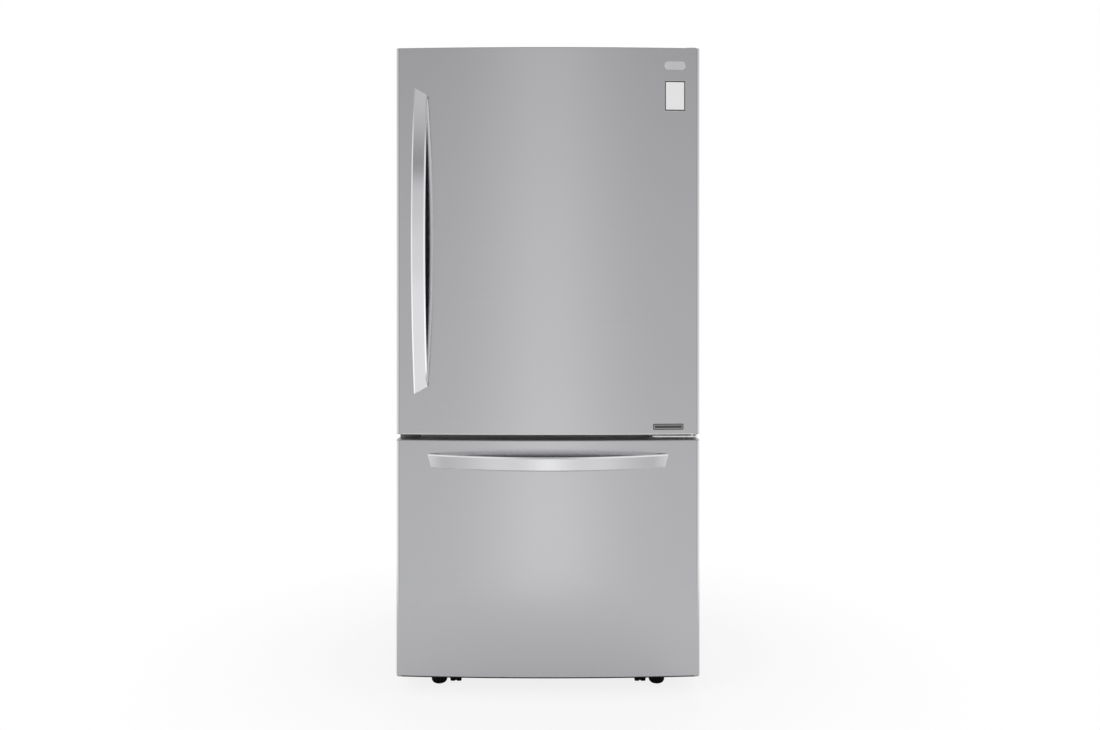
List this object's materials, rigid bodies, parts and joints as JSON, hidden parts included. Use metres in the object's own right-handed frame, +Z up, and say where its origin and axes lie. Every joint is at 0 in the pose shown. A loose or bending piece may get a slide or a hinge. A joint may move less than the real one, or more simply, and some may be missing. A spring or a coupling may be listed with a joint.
{
  "type": "bottom freezer refrigerator",
  "caption": "Free-standing refrigerator with a bowed stainless door above a pull-out freezer drawer, bowed flat handles, shelves, drawers and door bins.",
  "frame": {"origin": "on the floor, under the centre of the refrigerator's box", "axes": "+Z up, +X to the right when facing the doors, -Y out of the doors towards the user"},
  "size_m": [0.83, 0.878, 1.7706],
  "materials": {
    "black_plastic": "satin",
    "black_rubber": "matte",
    "black_steel": "satin",
    "cap_plastic": "satin",
    "clear_plastic": "gloss",
    "coil_aluminium": "satin",
    "foam": "matte",
    "gasket_rubber": "matte",
    "grey_plastic": "satin",
    "handle_steel": "polished",
    "lens_plastic": "satin",
    "painted_case": "satin",
    "rail_steel": "satin",
    "shelf_glass": "gloss",
    "stainless": "satin",
    "white_plastic": "gloss",
    "zinc": "satin"
  },
  "bodies": {
    "cabinet": {"cabinet_wrapper": "painted_case", "back_panel": "zinc", "base_pan": "zinc", "cabinet_foam": "foam", "fridge_liner": "white_plastic", "freezer_liner": "white_plastic", "mullion_cover": "painted_case", "machine_room_cover": "black_steel", "chassis_brackets": "zinc", "upper_hinge": "zinc", "hinge_cover": "cap_plastic", "middle_hinge": "zinc", "cabinet_screws": "zinc", "compressor": "black_steel", "condenser": "coil_aluminium", "fan_shroud": "black_plastic", "drip_tray": "black_plastic", "evaporator": "coil_aluminium", "evaporator_cover": "white_plastic", "air_duct": "white_plastic", "lamp_cover": "lens_plastic", "control_panel": "grey_plastic", "shelf_frames": "white_plastic", "shelf_glasses": "shelf_glass", "outer_rails": "rail_steel", "gear_racks": "grey_plastic"},
    "fridge_door": {"door_skin": "stainless", "door_end_caps": "cap_plastic", "door_bushes": "grey_plastic", "door_foam": "foam", "door_liner": "white_plastic", "door_gasket": "gasket_rubber", "door_handle": "handle_steel", "door_bins": "clear_plastic", "dairy_box": "clear_plastic"},
    "freezer_drawer": {"drawer_skin": "stainless", "drawer_end_caps": "cap_plastic", "drawer_foam": "foam", "drawer_liner": "white_plastic", "drawer_gasket": "gasket_rubber", "drawer_handle": "handle_steel", "inner_rails": "rail_steel", "freezer_basket": "white_plastic"},
    "dairy_lid": {"dairy_lid": "clear_plastic"},
    "middle_rails": {"middle_rails": "rail_steel"},
    "gear_shaft": {"gear_shaft": "grey_plastic"},
    "freezer_tray": {"freezer_tray": "clear_plastic"},
    "left_crisper": {"left_crisper": "clear_plastic"},
    "right_crisper": {"right_crisper": "clear_plastic"},
    "pantry_drawer": {"pantry_drawer": "clear_plastic"},
    "left_humidity_slide": {"left_humidity_slide": "grey_plastic"},
    "right_humidity_slide": {"right_humidity_slide": "grey_plastic"},
    "left_levelling_leg": {"left_levelling_leg": "black_plastic"},
    "right_levelling_leg": {"right_levelling_leg": "black_plastic"},
    "front_rollers": {"front_rollers": "black_rubber"},
    "rear_rollers": {"rear_rollers": "black_rubber"},
    "condenser_fan": {"condenser_fan": "black_plastic"},
    "evaporator_fan": {"evaporator_fan": "grey_plastic"},
    "left_button": {"left_button": "white_plastic"},
    "right_button": {"right_button": "white_plastic"}
  },
  "joints": [
    {"name": "fridge_door_hinge", "type": "hinge", "parent": "cabinet", "child": "fridge_door", "pos_m": [0.395, -0.327, 0.711], "axis": [0, 0, 1], "range_deg": [0, 125]},
    {"name": "dairy_lid_hinge", "type": "hinge", "parent": "fridge_door", "child": "dairy_lid", "pos_m": [0, -0.287, 1.539], "axis": [1, 0, 0], "range_deg": [0, 80]},
    {"name": "left_crisper_travel", "type": "slide", "parent": "cabinet", "child": "left_crisper", "axis": [0, -1, 0], "range_m": [0, 0.22908]},
    {"name": "right_crisper_travel", "type": "slide", "parent": "cabinet", "child": "right_crisper", "axis": [0, -1, 0], "range_m": [0, 0.22908]},
    {"name": "pantry_travel", "type": "slide", "parent": "cabinet", "child": "pantry_drawer", "axis": [0, -1, 0], "range_m": [0, 0.22908]},
    {"name": "freezer_drawer_travel", "type": "slide", "parent": "cabinet", "child": "freezer_drawer", "axis": [0, -1, 0], "range_m": [0, 0.43]},
    {"name": "middle_rail_travel", "type": "slide", "parent": "cabinet", "child": "middle_rails", "axis": [0, -1, 0], "range_m": [0, 0.215]},
    {"name": "freezer_tray_travel", "type": "slide", "parent": "cabinet", "child": "freezer_tray", "axis": [0, -1, 0], "range_m": [0, 0.2365]},
    {"name": "gear_shaft_turn", "type": "hinge", "parent": "freezer_drawer", "child": "gear_shaft", "pos_m": [0, 0.185, 0.3783], "axis": [1, 0, 0], "range_deg": [0, 1539.83]},
    {"name": "left_humidity_travel", "type": "slide", "parent": "cabinet", "child": "left_humidity_slide", "axis": [1, 0, 0], "range_m": [0, 0.034]},
    {"name": "right_humidity_travel", "type": "slide", "parent": "cabinet", "child": "right_humidity_slide", "axis": [1, 0, 0], "range_m": [0, 0.034]},
    {"name": "left_button_press", "type": "slide", "parent": "cabinet", "child": "left_button", "axis": [0, 1, 0], "range_m": [0, 0.0012], "stiffness_N_per_m": 800},
    {"name": "right_button_press", "type": "slide", "parent": "cabinet", "child": "right_button", "axis": [0, 1, 0], "range_m": [0, 0.0012], "stiffness_N_per_m": 800},
    {"name": "left_leg_turn", "type": "hinge", "parent": "cabinet", "child": "left_levelling_leg", "pos_m": [-0.3057, -0.263, 0], "axis": [0, 0, 1], "continuous": true},
    {"name": "right_leg_turn", "type": "hinge", "parent": "cabinet", "child": "right_levelling_leg", "pos_m": [0.3057, -0.263, 0], "axis": [0, 0, 1], "continuous": true},
    {"name": "front_roller_turn", "type": "hinge", "parent": "cabinet", "child": "front_rollers", "pos_m": [0, -0.261, 0.024], "axis": [1, 0, 0], "continuous": true},
    {"name": "rear_roller_turn", "type": "hinge", "parent": "cabinet", "child": "rear_rollers", "pos_m": [0, 0.377, 0.022], "axis": [1, 0, 0], "continuous": true},
    {"name": "condenser_fan_turn", "type": "hinge", "parent": "cabinet", "child": "condenser_fan", "pos_m": [0, 0.334, 0.136], "axis": [1, 0, 0], "continuous": true},
    {"name": "evaporator_fan_turn", "type": "hinge", "parent": "cabinet", "child": "evaporator_fan", "pos_m": [0, 0.292, 0.5875], "axis": [0, 1, 0], "continuous": true}
  ],
  "couplings": [
    {"joint": "left_crisper_travel", "follows": "fridge_door_hinge", "m_per_rad": 0.105},
    {"joint": "right_crisper_travel", "follows": "fridge_door_hinge", "m_per_rad": 0.105},
    {"joint": "pantry_travel", "follows": "fridge_door_hinge", "m_per_rad": 0.105},
    {"joint": "middle_rail_travel", "follows": "freezer_drawer_travel", "ratio": 0.5},
    {"joint": "freezer_tray_travel", "follows": "freezer_drawer_travel", "ratio": 0.55},
    {"joint": "gear_shaft_turn", "follows": "freezer_drawer_travel", "rad_per_m": 62.5}
  ]
}
